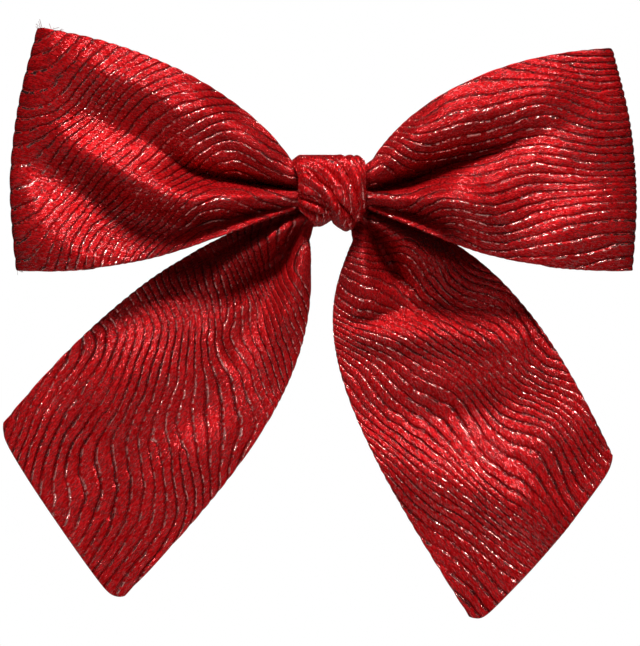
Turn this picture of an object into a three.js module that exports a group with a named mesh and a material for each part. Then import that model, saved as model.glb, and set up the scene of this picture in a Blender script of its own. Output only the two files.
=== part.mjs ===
// A pre-made gift bow of crinkled ribbon, in millimetres. It hangs upright: +X to the viewer's right,
// +Z up, and the face of the bow looks along -Y. The origin is the middle of the knot's flat back face.
// Two loops and two tails are gathered at the waist, bound with wire, and covered by the knot's band.
// A twist tie behind the gathers fastens the bow to a present, a branch or a wreath.
import * as THREE from "three";

// ---- Driving dimensions ----
const CLOTH = 1.6; // a petal's wall: two plies of ribbon and the air between them
const PLANE_Y = -16; // the plane through the middle of the waist, where every petal starts
const FRONT_SWELL = 24; // how far a loop stands forward of that plane
const BACK_SWELL = 8; // how far a loop stands behind it
const EDGE_SWELL = 0.55; // share of the swell that is left at a loop's top and bottom edges
const NECK_SWELL = 2.6; // half the distance between a loop's two walls at the waist
const FOLD_SETBACK = 3; // how far a loop's outer fold lies behind the plane
const GUTTER_RISE = 9; // how far a tail's middle stands forward of its edges, near the waist
const END_SETBACK = 6; // how far a tail's cut end lies behind the plane
const CORNER_ROUND = 0.02; // how much a tail's cut corner is rounded off, as a share of its length

const KNOT_WIDTH = 27; // the band's width, along X
const KNOT_HEIGHT = 29;
const KNOT_DEPTH = 32;
const BAND_WALL = 2.8;
const BAND_ROUND = 1.1; // bevel on the band's long edges, outside and inside

const WAIST_RADIUS = 5.6; // the gathered cloth where the wire holds it
const WAIST_FLARE = 8.2; // the gathered cloth at its two ends
const WAIST_LENGTH = 24;
const WIRE = 0.8;
const WIRE_TURNS = 3;

const TIE_WIDTH = 4; // the twist tie is a flat strip
const TIE_THICK = 1.0;
const TIE_LEG = 72;
const TIE_Y = -3.7; // the strip's middle, just inside the band's back wall
const TIE_HINGE_X = 15.6; // where a leg bends, just outside the band
const TIE_GAP = 0.8; // from the hinge to the leg, and to the bridge

const LOOP_STEPS = [40, 12]; // faces along and across a loop
const TAIL_STEPS = [30, 12];
const BAND_BACK_ROUND = 6.5; // the rounding between the band's flat back and its sides

// ---- Outlines: x and z of each petal's two long edges, from the waist outwards ----
const OUTLINES = {
  left_loop: {
    top: [[-16.5, 12], [-36, 42], [-80, 57], [-119, 65]],
    bottom: [[-16.5, -6.5], [-48, -18], [-75, -33], [-127, -31]],
    endBulge: 6,
  },
  right_loop: {
    top: [[16, 12.5], [31, 36], [64, 53], [110, 57]],
    bottom: [[16, -6.5], [44, -18], [62, -31], [118, -31]],
    endBulge: 5,
  },
  left_tail: {
    top: [[-17.5, -11], [-56, -23], [-92, -46], [-132.5, -94]],
    bottom: [[-9.5, -19], [-5, -65], [-20, -96], [-86, -163.5]],
    endBulge: 1.5,
  },
  right_tail: {
    top: [[17.5, -11], [65, -23], [87, -55], [110.5, -106]],
    bottom: [[8.5, -19.5], [-12, -56], [4, -92], [54, -172]],
    endBulge: 2,
  },
};

// ---- Materials ----
function finish(color, roughness, metalness) {
  return new THREE.MeshStandardMaterial({ color, roughness, metalness });
}
const ribbonCloth = finish(0x9c0f17, 0.45, 0.15);
const gatheredCloth = finish(0x7a0b12, 0.6, 0.1);
const bindingSteel = finish(0x8f8a80, 0.35, 0.9);
const goldFoil = finish(0xc9a24a, 0.3, 0.8);

const bow = new THREE.Group();

function addPiece(name, geometry, material) {
  const mesh = new THREE.Mesh(geometry, material);
  mesh.name = name;
  bow.add(mesh);
  return mesh;
}

function smooth(t) {
  return THREE.MathUtils.smoothstep(t, 0, 1);
}

// A long edge of a petal as a smooth curve in the bow's own plane.
function edgeCurve(points) {
  const [start, leave, arrive, end] = points.map(([x, z]) => new THREE.Vector2(x, z));
  return new THREE.CubicBezierCurve(start, leave, arrive, end);
}

// A point of a petal seen from the front: out is 0 at the waist and 1 at the far end,
// and across is 0 on the top edge and 1 on the bottom edge. The far end is bowed outwards.
function petalPlan(outline) {
  const top = edgeCurve(outline.top);
  const bottom = edgeCurve(outline.bottom);
  const endTop = top.getPoint(1);
  const endBottom = bottom.getPoint(1);
  const middle = endTop.clone().add(endBottom).multiplyScalar(0.5);
  const waist = top.getPoint(0).add(bottom.getPoint(0)).multiplyScalar(0.5);
  const outwards = new THREE.Vector2(endTop.y - endBottom.y, endBottom.x - endTop.x).normalize();
  if (outwards.dot(middle.sub(waist)) < 0) outwards.negate();
  return (out, across) => {
    const point = top.getPoint(out).lerp(bottom.getPoint(out), across);
    const bulge = outline.endBulge * out ** 3 * Math.sin(Math.PI * across);
    return point.addScaledVector(outwards, bulge);
  };
}

// A closed wall of even thickness on both sides of surface(along, across), which both run from 0 to 1.
function wallGeometry(surface, alongSteps, acrossSteps, thickness) {
  const small = 1e-3;
  const positions = [];
  const normalAt = (a, c) => {
    const alongA = surface(Math.min(a + small, 1), c).sub(surface(Math.max(a - small, 0), c));
    const alongC = surface(a, Math.min(c + small, 1)).sub(surface(a, Math.max(c - small, 0)));
    return alongA.cross(alongC).normalize();
  };
  for (const side of [0.5, -0.5]) {
    for (let i = 0; i <= alongSteps; i += 1) {
      for (let j = 0; j <= acrossSteps; j += 1) {
        const a = i / alongSteps;
        const c = j / acrossSteps;
        const point = surface(a, c).addScaledVector(normalAt(a, c), side * thickness);
        positions.push(point.x, point.y, point.z);
      }
    }
  }
  const row = acrossSteps + 1;
  const sheet = row * (alongSteps + 1);
  const triangles = [];
  const quad = (p, q, r, s) => triangles.push(p, q, r, p, r, s);
  for (let i = 0; i < alongSteps; i += 1) {
    for (let j = 0; j < acrossSteps; j += 1) {
      const p = i * row + j;
      quad(p, p + row, p + row + 1, p + 1);
      quad(sheet + p, sheet + p + 1, sheet + p + row + 1, sheet + p + row);
    }
  }
  for (let i = 0; i < alongSteps; i += 1) {
    const first = i * row;
    const last = first + acrossSteps;
    quad(first, sheet + first, sheet + first + row, first + row);
    quad(last, last + row, sheet + last + row, sheet + last);
  }
  for (let j = 0; j < acrossSteps; j += 1) {
    const last = alongSteps * row + j;
    quad(j, j + 1, sheet + j + 1, sheet + j);
    quad(last, sheet + last, sheet + last + 1, last + 1);
  }
  const geometry = new THREE.BufferGeometry();
  geometry.setAttribute("position", new THREE.Float32BufferAttribute(positions, 3));
  geometry.setIndex(triangles);
  return facingOut(geometry);
}

// Turns a closed geometry's faces round if they point inwards, as they do on one side of the bow.
function facingOut(geometry) {
  const corners = geometry.toNonIndexed().getAttribute("position");
  const [p, q, r] = [new THREE.Vector3(), new THREE.Vector3(), new THREE.Vector3()];
  let volume = 0;
  for (let i = 0; i < corners.count; i += 3) {
    p.fromBufferAttribute(corners, i);
    q.fromBufferAttribute(corners, i + 1);
    r.fromBufferAttribute(corners, i + 2);
    volume += p.dot(q.cross(r)) / 6;
  }
  if (volume < 0) geometry.index.array.reverse();
  geometry.computeVertexNormals();
  return geometry;
}

// ---- Loops: a strip that goes out along the front, round the outer fold and back behind ----
function loopSurface(outline) {
  const plan = petalPlan(outline);
  return (along, across) => {
    const turn = Math.PI * along;
    const out = Math.sin(turn) ** 0.75;
    const opening = smooth(out / 0.6);
    const edge = EDGE_SWELL + (1 - EDGE_SWELL) * Math.sin(Math.PI * across);
    const swell = Math.cos(turn) > 0 ? FRONT_SWELL : BACK_SWELL;
    const half = NECK_SWELL + (swell - NECK_SWELL) * opening * edge;
    const point = plan(out, across);
    return new THREE.Vector3(point.x, PLANE_Y + FOLD_SETBACK * out - half * Math.cos(turn), point.y);
  };
}

function loopGeometry(outline) {
  return wallGeometry(loopSurface(outline), ...LOOP_STEPS, CLOTH);
}

// ---- Tails: a flat strip, gutter-shaped where it is gathered and flat at its cut end ----
function tailSurface(outline) {
  const plan = petalPlan(outline);
  return (along, step) => {
    const across = 0.5 - 0.5 * Math.cos(Math.PI * step); // finer steps towards the long edges
    const fromMiddle = Math.abs(2 * across - 1);
    const out = along * (1 - CORNER_ROUND * fromMiddle ** 16 * along ** 4);
    const point = plan(out, across);
    const gathered = smooth(out / 0.22) * (1 - 0.85 * smooth((out - 0.22) / 0.6));
    const rise = GUTTER_RISE * gathered * (1 - fromMiddle ** 2);
    return new THREE.Vector3(point.x, PLANE_Y + END_SETBACK * smooth(out) - rise, point.y);
  };
}

function tailGeometry(outline) {
  return wallGeometry(tailSurface(outline), ...TAIL_STEPS, CLOTH);
}

for (const [name, outline] of Object.entries(OUTLINES)) {
  addPiece(name, name.endsWith("loop") ? loopGeometry(outline) : tailGeometry(outline), ribbonCloth);
}

// ---- Knot: a band wrapped round the waist, flat behind and rounded in front ----
function bandSection(inset) {
  const half = KNOT_HEIGHT / 2 - inset;
  const back = -inset;
  const front = -KNOT_DEPTH + inset;
  const backRound = BAND_BACK_ROUND - inset;
  const shoulder = -KNOT_DEPTH * 0.45;
  const section = new THREE.Path();
  section.moveTo(back, -half + backRound);
  section.lineTo(back, half - backRound);
  section.quadraticCurveTo(back, half, back - backRound, half);
  section.lineTo(shoulder, half);
  section.bezierCurveTo(front * 0.8, half, front, half * 0.55, front, 0);
  section.bezierCurveTo(front, -half * 0.55, front * 0.8, -half, shoulder, -half);
  section.lineTo(back - backRound, -half);
  section.quadraticCurveTo(back, -half, back, -half + backRound);
  return section;
}

function knotGeometry() {
  const section = new THREE.Shape(bandSection(BAND_ROUND).getPoints(10));
  section.holes.push(new THREE.Path(bandSection(BAND_WALL - BAND_ROUND).getPoints(10)));
  const geometry = new THREE.ExtrudeGeometry(section, {
    depth: KNOT_WIDTH - 2 * BAND_ROUND,
    bevelThickness: BAND_ROUND,
    bevelSize: BAND_ROUND,
    bevelSegments: 3,
    curveSegments: 10,
  });
  // The section is drawn in y and z, so its own two axes are turned onto the bow's Y and Z.
  const axes = new THREE.Matrix4().makeBasis(
    new THREE.Vector3(0, 1, 0),
    new THREE.Vector3(0, 0, 1),
    new THREE.Vector3(1, 0, 0),
  );
  return geometry.applyMatrix4(axes).translate(-KNOT_WIDTH / 2 + BAND_ROUND, 0, 0);
}
addPiece("knot_band", knotGeometry(), ribbonCloth);

// ---- Waist: the petals' gathered ends, pinched by turns of binding wire ----
function waistGeometry() {
  const half = WAIST_LENGTH / 2;
  const pinched = WIRE_TURNS * WIRE * 0.8; // half the length that the wire covers
  const profile = [
    new THREE.Vector2(0, -half),
    new THREE.Vector2(WAIST_FLARE, -half),
    new THREE.Vector2(WAIST_FLARE - 0.6, -half * 0.65),
    new THREE.Vector2(WAIST_RADIUS, -pinched),
    new THREE.Vector2(WAIST_RADIUS, pinched),
    new THREE.Vector2(WAIST_FLARE - 0.6, half * 0.65),
    new THREE.Vector2(WAIST_FLARE, half),
    new THREE.Vector2(0, half),
  ];
  return new THREE.LatheGeometry(profile, 28).rotateZ(-Math.PI / 2);
}
addPiece("gathered_waist", waistGeometry(), gatheredCloth).position.set(0, PLANE_Y, 0);

class BindingPath extends THREE.Curve {
  getPoint(t, target = new THREE.Vector3()) {
    const angle = 2 * Math.PI * WIRE_TURNS * t;
    const radius = WAIST_RADIUS + WIRE / 2 + 0.3;
    const x = (t - 0.5) * WIRE_TURNS * WIRE * 1.35;
    return target.set(x, radius * Math.cos(angle), radius * Math.sin(angle));
  }
}

function bindingGeometry() {
  const section = new THREE.Shape().absarc(0, 0, WIRE / 2, 0, 2 * Math.PI);
  return new THREE.ExtrudeGeometry(section, {
    steps: 16 * WIRE_TURNS,
    curveSegments: 3,
    extrudePath: new BindingPath(),
    bevelEnabled: false,
  });
}
addPiece("binding_wire", bindingGeometry(), bindingSteel).position.set(0, PLANE_Y, 0);

// ---- Twist tie: a bridge behind the waist and two legs that bend backwards ----
function stripGeometry(length) {
  const end = TIE_WIDTH / 2;
  const strip = new THREE.Shape();
  strip.moveTo(0, -end);
  strip.lineTo(length - end, -end);
  strip.absarc(length - end, 0, end, -Math.PI / 2, Math.PI / 2);
  strip.lineTo(0, end);
  const flat = new THREE.ExtrudeGeometry(strip, {
    depth: TIE_THICK,
    curveSegments: 8,
    bevelEnabled: false,
  });
  return flat.rotateX(Math.PI / 2).translate(0, TIE_THICK / 2, 0);
}

const bridgeHalf = TIE_HINGE_X - TIE_GAP;
const bridge = new THREE.BoxGeometry(2 * bridgeHalf, TIE_THICK, TIE_WIDTH);
addPiece("tie_bridge", bridge, goldFoil).position.set(0, TIE_Y, 0);

for (const [name, side] of [["left_tie_leg", -1], ["right_tie_leg", 1]]) {
  const leg = addPiece(name, stripGeometry(TIE_LEG), goldFoil);
  leg.rotation.y = side > 0 ? 0 : Math.PI;
  leg.position.set(side * (TIE_HINGE_X + TIE_GAP), TIE_Y, 0);
}

export default bow;
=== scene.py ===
# %% [markdown]
# # A ready-made gift bow
#
# The bow is soft: two open loops and two tails of wide crinkled ribbon, pinched at the waist and hidden
# under a wrapped knot, with a twist tie behind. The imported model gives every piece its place, its size
# and the way it moves. Here each plain solid gets the cloth that it stands for.
#
# Lengths in this lesson are millimetres until a mesh is made, because cloth is easier to think about in
# millimetres. MM turns them into Blender's metres.

# %% The frame and the tools
import math

import bpy
import numpy as np
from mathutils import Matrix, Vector


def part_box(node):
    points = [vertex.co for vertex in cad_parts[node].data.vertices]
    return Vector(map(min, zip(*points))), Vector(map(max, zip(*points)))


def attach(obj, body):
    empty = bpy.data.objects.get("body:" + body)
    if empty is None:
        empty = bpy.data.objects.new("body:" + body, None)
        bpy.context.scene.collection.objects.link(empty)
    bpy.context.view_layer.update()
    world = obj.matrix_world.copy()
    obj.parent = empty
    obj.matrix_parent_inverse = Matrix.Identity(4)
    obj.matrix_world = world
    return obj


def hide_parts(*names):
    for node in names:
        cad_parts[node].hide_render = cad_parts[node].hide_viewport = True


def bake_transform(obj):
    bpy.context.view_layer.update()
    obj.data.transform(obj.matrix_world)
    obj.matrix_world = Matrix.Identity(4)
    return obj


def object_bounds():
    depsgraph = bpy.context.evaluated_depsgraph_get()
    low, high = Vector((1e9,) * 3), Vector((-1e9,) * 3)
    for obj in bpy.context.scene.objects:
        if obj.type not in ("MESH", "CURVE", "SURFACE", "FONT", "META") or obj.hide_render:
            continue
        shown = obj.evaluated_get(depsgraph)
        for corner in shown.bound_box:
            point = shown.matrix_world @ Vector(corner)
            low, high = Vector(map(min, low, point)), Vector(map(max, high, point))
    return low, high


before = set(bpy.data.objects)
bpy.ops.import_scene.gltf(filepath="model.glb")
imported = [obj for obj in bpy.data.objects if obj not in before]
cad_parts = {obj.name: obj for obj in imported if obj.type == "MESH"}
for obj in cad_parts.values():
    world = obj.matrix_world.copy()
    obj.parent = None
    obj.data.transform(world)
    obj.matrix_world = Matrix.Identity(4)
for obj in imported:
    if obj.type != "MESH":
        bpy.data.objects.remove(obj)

MM = 0.001
cad_low, cad_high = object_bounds()
print("CAD box in metres:", [round(v, 4) for v in cad_high - cad_low])

# %% [markdown]
# ## Camera
#
# A bow is looked at from straight in front, so the camera stands level with its middle. A long lens from
# far away keeps both loops at one scale, as a product picture does. The view is a little taller than the
# bow, so that there is a margin all round.

# %% Camera
LENS = 120.0
SENSOR = 36.0
MARGIN = 1.093  # height of the view over the height of the bow
WAIST_Y = -16.0  # the plane through the middle of the gathered waist

middle = (cad_low + cad_high) / 2
view_height = (cad_high.z - cad_low.z) * MARGIN
camera_data = bpy.data.cameras.new("front_camera")
camera_data.lens = LENS
camera_data.sensor_width = SENSOR
camera = bpy.data.objects.new("front_camera", camera_data)
camera.location = (middle.x, WAIST_Y * MM - view_height * LENS / SENSOR, middle.z)
camera.rotation_euler = (math.radians(90), 0, 0)
bpy.context.collection.objects.link(camera)
bpy.context.scene.camera = camera
bpy.context.scene.view_settings.view_transform = "Standard"

# %% [markdown]
# ## Light and room
#
# Metallic thread is only as lively as what it mirrors. One large soft light gives the broad shading, and
# two smaller ones give the glints. A weak light from the side and one from behind keep the shadows from
# closing up. A pale floor lies below. The room is white to the camera and almost dark to the cloth, so
# the outline stays crisp and the metallic thread has something dark to mirror.

# %% Light and room


def soft_light(name, place, size, watts, target):
    """A square area light at place that faces target."""
    data = bpy.data.lights.new(name, "AREA")
    data.size = size
    data.energy = watts
    light = bpy.data.objects.new(name, data)
    light.location = place
    aim = Vector(target) - Vector(place)
    light.rotation_euler = aim.to_track_quat("-Z", "Y").to_euler()
    bpy.context.collection.objects.link(light)
    return light


def stage_plane(name, place, size, color):
    """A plain plane for the floor."""
    bpy.ops.object.select_all(action="DESELECT")
    bpy.ops.mesh.primitive_plane_add(size=size, location=place)
    plane = bpy.context.object
    plane.name = name
    material = bpy.data.materials.new(name)
    material.use_nodes = True
    shader = material.node_tree.nodes["Principled BSDF"]
    shader.inputs["Base Color"].default_value = (*color, 1)
    shader.inputs["Roughness"].default_value = 0.9
    plane.data.materials.append(material)
    return plane


soft_light("key_light", (-0.03, -0.62, 0.85), 0.24, 20.0, middle)
soft_light("side_light", (-0.8, -0.8, 0.35), 0.3, 0.3, middle)
soft_light("glint_light_left", (-0.2, -1.2, 0.45), 0.035, 0.55, middle)
soft_light("glint_light_right", (0.4, -1.1, 0.25), 0.035, 0.5, middle)
soft_light("back_light", (0.25, 1.3, 0.15), 0.3, 2.5, middle)
stage_plane("floor", (0, 0, cad_low.z - 0.4), 3.2, (0.85, 0.84, 0.83))

world = bpy.data.worlds.new("pale_room")
world.use_nodes = True
room = world.node_tree
seen = room.nodes.new("ShaderNodeLightPath")
strength = room.nodes.new("ShaderNodeMapRange")
strength.inputs["To Min"].default_value = 0.018
strength.inputs["To Max"].default_value = 1.0
room.links.new(seen.outputs["Is Camera Ray"], strength.inputs["Value"])
room.links.new(strength.outputs["Result"], room.nodes["Background"].inputs["Strength"])
room.nodes["Background"].inputs["Color"].default_value = (1, 1, 1, 1)
bpy.context.scene.world = world

# %% [markdown]
# ## Small helpers for cloth
#
# A fold in cloth is a soft step or a soft ridge. `ease` is the soft step. `ripples` is a field of waves
# in every direction, which makes any regular thing look a little accidental, and always in the same way
# because its random numbers are seeded.

# %% Soft steps and ripples


def ease(t):
    """0 below 0, 1 above 1, and a smooth step between."""
    t = np.clip(t, 0.0, 1.0)
    return t * t * (3.0 - 2.0 * t)


def ripples(seed, wavelength, p, q, count=14):
    """A smooth random field of about unit size over the cloth's own places p and q."""
    chance = np.random.default_rng(seed)
    field = np.zeros(np.broadcast(p, q).shape)
    for _ in range(count):
        angle, start = chance.uniform(0, 2 * np.pi, 2)
        turn = 2 * np.pi / (wavelength * chance.uniform(0.75, 1.35))
        field += np.cos(turn * (p * np.cos(angle) + q * np.sin(angle)) + start)
    return field * math.sqrt(2 / count)


def bezier(points, t):
    """Points of a cubic curve at the shares t."""
    a, b, c, d = points
    t = t[..., None]
    return (1 - t) ** 3 * a + 3 * (1 - t) ** 2 * t * b + 3 * (1 - t) * t**2 * c + t**3 * d


# %% [markdown]
# ## The outline of a petal
#
# Each loop and tail is one strip, narrow at the waist and wide at its far end, so it is called a petal
# here. Its two long edges are smooth curves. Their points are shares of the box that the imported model
# gives the petal: (0, 0) is its lower left corner and (1, 1) its upper right one. A short neck carries
# the strip on into the knot.

# %% Outlines
NECK = 0.10  # how far the neck goes into the knot, as a share of the petal's length
OUTLINES = {
    "left_loop": {
        "top": [(1.0, 0.45), (0.828, 0.76), (0.442, 0.915), (0.125, 1.0)],
        "bottom": [(1.0, 0.25), (0.723, 0.12), (0.486, -0.018), (0.05, 0.003)],
        "neck": [(-8, 7), (-8, -3)],
        "bulge": 6.0,
    },
    "right_loop": {
        "top": [(0.0, 0.494), (0.144, 0.76), (0.46, 0.952), (0.9, 1.0)],
        "bottom": [(0.0, 0.27), (0.268, 0.13), (0.441, 0.0), (0.977, 0.0)],
        "neck": [(8, 7), (8, -3)],
        "bulge": 5.0,
    },
    "left_tail": {
        "top": [(0.94, 1.03), (0.62, 0.96), (0.314, 0.79), (-0.02, 0.445)],
        "bottom": [(0.99, 0.946), (1.027, 0.638), (0.904, 0.43), (0.364, -0.024)],
        "neck": [(-9, -3), (-6, -9)],
        "bulge": 1.5,
    },
    "right_tail": {
        "top": [(0.15, 1.03), (0.59, 0.965), (0.81, 0.72), (1.035, 0.39)],
        "bottom": [(0.083, 0.946), (-0.104, 0.714), (0.052, 0.485), (0.525, -0.028)],
        "neck": [(9, -3), (6, -9)],
        "bulge": 2.0,
    },
}


def in_box(node, shares):
    """Places in millimetres, x and z, of shares of a node's box."""
    low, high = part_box(node)
    return np.array([(low.x + a * (high.x - low.x), low.z + b * (high.z - low.z)) for a, b in shares]) / MM


def petal_plan(name):
    """A function that turns out (0 at the knot, 1 at the far end) and across into x and z."""
    shape = OUTLINES[name]
    top, bottom = in_box(name, shape["top"]), in_box(name, shape["bottom"])
    neck_top, neck_bottom = np.array(shape["neck"], float)
    chord = bottom[3] - top[3]
    outward = np.array([chord[1], -chord[0]]) / np.hypot(*chord)
    if outward @ (top[3] + bottom[3] - top[0] - bottom[0]) < 0:
        outward = -outward

    def plan(out, across):
        far = np.clip(out, 0, 1)
        inside = np.clip(-out / NECK, 0, 1)[..., None]
        upper = bezier(top, far) + (neck_top - top[0]) * inside
        lower = bezier(bottom, far) + (neck_bottom - bottom[0]) * inside
        bulge = shape["bulge"] * far**3 * np.sin(np.pi * np.clip(across, 0, 1))
        return upper + (lower - upper) * across[..., None] + bulge[..., None] * outward

    return plan


def shown_width(plan, out):
    """The petal's width in millimetres, edge to edge. Folds near the knot hide the rest of the ribbon."""
    return np.hypot(*np.moveaxis(plan(out, 1 + 0 * out) - plan(out, 0 * out), -1, 0))


# %% [markdown]
# ## Folds as strokes
#
# Near the knot the cloth is too wide for its place, so it folds. A simulation of gathering would give
# folds, but never the ones that this bow has, so each fold is drawn as a stroke over the petal: a line, a
# height towards the viewer and a width, which change along the line. A crevice is a stroke with a
# negative height.

# %% Strokes


def along_line(values, t):
    """Values at the shares t of a line, with its corners rounded."""
    straight = np.interp(t, np.linspace(0, 1, len(values)), values)
    padded = np.pad(straight, 12, mode="reflect", reflect_type="odd")
    return np.convolve(padded, np.ones(25) / 25, mode="valid")


def stroke(plan, place, line, heights, widths, sharp=2.0):
    """How far a fold lifts the cloth at each place. line holds points (out, across)."""
    t = np.linspace(0, 1, 140)
    out, across = (along_line([point[i] for point in line], t) for i in (0, 1))
    path = plan(out, across)
    far = np.full(place.shape[:2], np.inf)
    nearest = np.zeros(place.shape[:2], int)
    for i, point in enumerate(path):
        distance = np.hypot(place[..., 0] - point[0], place[..., 1] - point[1])
        closer = distance < far
        far[closer] = distance[closer]
        nearest[closer] = i
    height, width = along_line(heights, t)[nearest], along_line(widths, t)[nearest]
    return height * np.exp(-((far / width) ** sharp))


def folds(plan, place, strokes):
    """All of a petal's strokes together."""
    return sum(stroke(plan, place, *one) for one in strokes)


# %% [markdown]
# ## Crinkles
#
# The ribbon is a cloque: two layers woven together along thin wavy lines, which pucker between them. The
# lines are the level lines of a phase, which grows by one whole turn from line to line. Ripples bend and
# crowd the lines. A fork, where a new line begins, is a place that the phase turns once around.

# %% Crinkles
PITCH = 3.5  # from line to line
PUCKER = 0.45  # how high the cloth stands between two lines


def crinkle_phase(p, q, drift, seed, pitch=PITCH, waves=1.0, forks=5):
    """The phase, in radians, at places p across and q along the ribbon. Lines keep p + drift even."""
    phase = (p + drift) / pitch
    phase = phase + waves * (0.75 * ripples(seed, 55, p, q) + 0.2 * ripples(seed + 1, 24, p, 0.6 * q))
    phase = phase + 0.04 * ripples(seed + 2, 7, p, 0.7 * q)
    chance = np.random.default_rng(seed + 3)
    for i in range(forks):
        p0 = chance.uniform(p.min(), p.max())
        q0 = chance.uniform(0.15 * q.max(), q.max())
        phase = phase + (-1) ** i * np.arctan2(p - p0, q - q0) / (2 * np.pi)
    return 2 * np.pi * phase


def pucker(phase):
    """0 on a crinkle line and about 1 between two lines."""
    return ((1 - np.cos(phase)) / 2) ** 0.3


# %% [markdown]
# ## From a middle surface to a closed piece of cloth
#
# The ribbon is two plies thick with soft, rounded edges. So a middle surface gets a front skin and a back
# skin, half a thickness away on either side, which meet at the edges. Each skin has its own crinkles. The
# cloth's own places go into a UV map, and the phase into two attributes, its cosine and its sine, because
# these blend smoothly between vertices where an angle would jump.

# %% Closed cloth
THICK = 1.5  # both plies with the air between them
REST_Y = -2.0  # the cloth's middle comes no closer to what the bow lies on


def middle_normals(middle, ring):
    """The unit normal of a grid of points."""
    if ring:
        wrapped = np.concatenate([middle[-2:-1], middle, middle[1:2]])
        along = np.gradient(wrapped, axis=0)[1:-1]
    else:
        along = np.gradient(middle, axis=0)
    normal = np.cross(along, np.gradient(middle, axis=1))
    length = np.linalg.norm(normal, axis=-1, keepdims=True)
    return normal / np.maximum(length, 1e-9)


def closed_cloth(name, middle, half, reliefs, phases, cloth, strong, ring=False):
    """A closed mesh round a grid of points. half is half the thickness, 0 at the edges. reliefs and
    phases hold the front skin's and the back skin's. cloth holds each point's own place on the ribbon."""
    rows, columns = half.shape
    normal = middle_normals(middle, ring)
    cover = np.clip(half / (0.5 * half.max()), 0, 1)
    skins = []
    for side, relief in zip((1, -1), reliefs):
        skins.append(middle + side * normal * (half + relief * cover)[..., None])
    if ring:
        rows -= 1
        skins = [skin[:-1] for skin in skins]
    first = np.arange(rows * columns).reshape(rows, columns)
    second = first.copy()
    ends = slice(None) if ring else slice(1, -1)
    inner = second[ends, 1:-1]
    second[ends, 1:-1] = rows * columns + np.arange(inner.size).reshape(inner.shape)
    points = np.concatenate([skins[0].reshape(-1, 3), skins[1][ends, 1:-1].reshape(-1, 3)])
    if ring:
        first, second = (np.concatenate([index, index[:1]]) for index in (first, second))

    def quads(grid):
        return np.stack([grid[:-1, :-1], grid[1:, :-1], grid[1:, 1:], grid[:-1, 1:]], -1).reshape(-1, 4)

    faces = np.concatenate([quads(first), quads(second)[:, ::-1]])
    corners = np.concatenate([quads(np.arange(cloth[..., 0].size).reshape(cloth.shape[:2]))] * 2)
    corners[len(corners) // 2 :] = corners[len(corners) // 2 :, ::-1]
    a, b, c = (points[faces[:, i]] for i in (0, 1, 2))
    if np.einsum("ij,ij->", a, np.cross(b, c)) < 0:
        faces, corners = faces[:, ::-1], corners[:, ::-1]

    mesh = bpy.data.meshes.new(name)
    mesh.from_pydata((points * MM).tolist(), [], faces.tolist())
    layer = mesh.uv_layers.new(name="cloth")
    layer.data.foreach_set("uv", (cloth.reshape(-1, 2)[corners.reshape(-1)] * MM).ravel())
    both = [phase[: rows if ring else None] for phase in phases]
    angle = np.concatenate([both[0].reshape(-1), both[1][ends, 1:-1].reshape(-1)])
    strength = strong[: rows if ring else None]
    strength = np.concatenate([strength.reshape(-1), strength[ends, 1:-1].reshape(-1)])
    values_of = {"line_cos": np.cos(angle), "line_sin": np.sin(angle), "line_strength": strength}
    for attribute, values in values_of.items():
        mesh.attributes.new(attribute, "FLOAT", "POINT").data.foreach_set("value", values)
    mesh.polygons.foreach_set("use_smooth", [True] * len(mesh.polygons))
    mesh.update()
    piece = bpy.data.objects.new(name, mesh)
    bpy.context.collection.objects.link(piece)
    area = sum(face.area for face in mesh.polygons) / 2
    print(name, len(mesh.polygons) * 2, "triangles,", round(area * 1e4, 1), "cm2 of cloth")
    return piece


def edge_shares(count, width):
    """Shares from 0 to 1, even inside and crowded where the two edges are rounded."""
    rounded = np.array([0.0, 0.1, 0.32, 0.62]) * 0.5 * THICK / width
    inside = np.linspace(0.5 * THICK / width, 1 - 0.5 * THICK / width, count - 2 * len(rounded))
    return np.concatenate([rounded, inside, 1 - rounded[::-1]])


def rounded_half(distance):
    """Half the thickness at a distance from the edge."""
    near = np.clip(distance / (0.5 * THICK), 0, 1)
    return 0.5 * THICK * np.sqrt(np.clip(1 - (1 - near) ** 2, 0, 1))


# %% [markdown]
# ## The ribbon's finish
#
# Red thread with a flat metallic thread woven in. On the real ribbon three things are seen: thin dark
# crinkle lines, a fine weave, and glints, where a bit of metallic thread happens to face a light. The
# lines come from the phase. The weave is two crossed rows of threads. The glints come from small cells,
# each tilted its own way: a tilted mirror sends the light to the eye from only a few of them. Most glints
# sit on the lip just past a line, broken into dashes by noise. The colours and the amounts were tuned
# and aren't measured on a ribbon.

# %% Node helpers


def new_material(name):
    """An empty node material with one Principled shader."""
    material = bpy.data.materials.new(name)
    material.use_nodes = True
    return material, material.node_tree, material.node_tree.nodes["Principled BSDF"]


def put(tree, socket, value):
    """Sets a socket to a number or a colour, or links it to another socket."""
    if isinstance(value, bpy.types.NodeSocket):
        tree.links.new(value, socket)
    else:
        socket.default_value = value


def calc(tree, operation, *values, clamp=False):
    """A Math node's result."""
    node = tree.nodes.new("ShaderNodeMath")
    node.operation = operation
    node.use_clamp = clamp
    for socket, value in zip(node.inputs, values):
        put(tree, socket, value)
    return node.outputs[0]


def vector_calc(tree, operation, *values):
    """A Vector Math node's result."""
    node = tree.nodes.new("ShaderNodeVectorMath")
    node.operation = operation
    for socket, value in zip(node.inputs, values):
        put(tree, socket, value)
    return node.outputs[0]


def soft_range(tree, value, low, high):
    """0 below low, 1 above high, smooth between."""
    node = tree.nodes.new("ShaderNodeMapRange")
    node.interpolation_type = "SMOOTHSTEP"
    put(tree, node.inputs["Value"], value)
    node.inputs["From Min"].default_value = low
    node.inputs["From Max"].default_value = high
    return node.outputs["Result"]


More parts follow.
